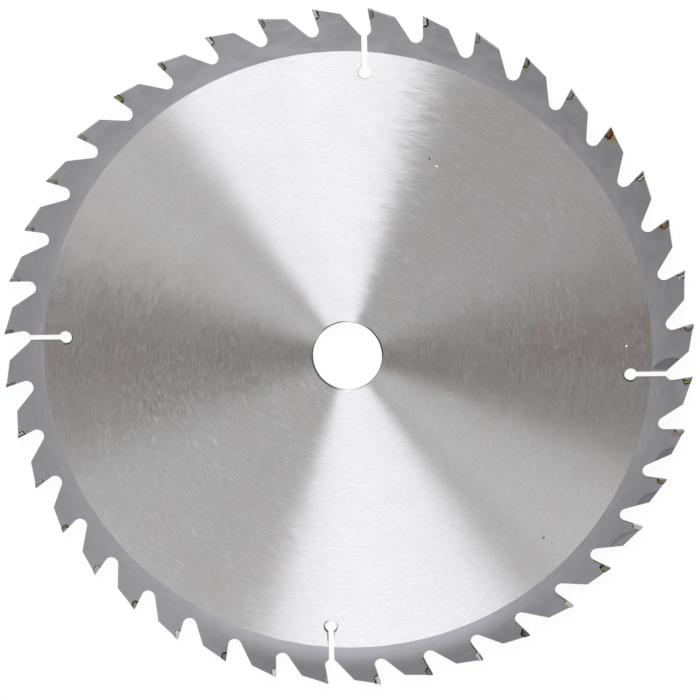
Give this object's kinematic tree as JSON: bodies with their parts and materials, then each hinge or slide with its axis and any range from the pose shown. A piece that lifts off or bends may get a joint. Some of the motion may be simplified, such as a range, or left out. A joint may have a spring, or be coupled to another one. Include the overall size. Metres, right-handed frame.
{
  "type": "circular saw blade",
  "caption": "Flat round steel saw blade with brazed carbide-tipped teeth, keyhole expansion slots and a plain arbor bore.",
  "frame": {"origin": "centre of the arbor bore, halfway through the plate", "axes": "+Z along the bore axis, out of the face seen in the picture; +Y through the cutting point of tooth 1; seen from +Z the teeth point anticlockwise"},
  "size_m": [0.3, 0.3, 0.0032],
  "materials": {
    "plate_steel": "circular ground face with a blasted satin rim",
    "carbide": "fine ground carbide",
    "braze": "dark oxidised braze"
  },
  "bodies": {
    "root": {"blade_plate": "plate_steel", "braze_seams": "braze", "carbide_tip_01": "carbide", "carbide_tip_02": "carbide", "carbide_tip_03": "carbide", "carbide_tip_04": "carbide", "carbide_tip_05": "carbide", "carbide_tip_06": "carbide", "carbide_tip_07": "carbide", "carbide_tip_08": "carbide", "carbide_tip_09": "carbide", "carbide_tip_10": "carbide", "carbide_tip_11": "carbide", "carbide_tip_12": "carbide", "carbide_tip_13": "carbide", "carbide_tip_14": "carbide", "carbide_tip_15": "carbide", "carbide_tip_16": "carbide", "carbide_tip_17": "carbide", "carbide_tip_18": "carbide", "carbide_tip_19": "carbide", "carbide_tip_20": "carbide", "carbide_tip_21": "carbide", "carbide_tip_22": "carbide", "carbide_tip_23": "carbide", "carbide_tip_24": "carbide", "carbide_tip_25": "carbide", "carbide_tip_26": "carbide", "carbide_tip_27": "carbide", "carbide_tip_28": "carbide", "carbide_tip_29": "carbide", "carbide_tip_30": "carbide", "carbide_tip_31": "carbide", "carbide_tip_32": "carbide", "carbide_tip_33": "carbide", "carbide_tip_34": "carbide", "carbide_tip_35": "carbide", "carbide_tip_36": "carbide", "carbide_tip_37": "carbide", "carbide_tip_38": "carbide", "carbide_tip_39": "carbide", "carbide_tip_40": "carbide"}
  },
  "joints": []
}
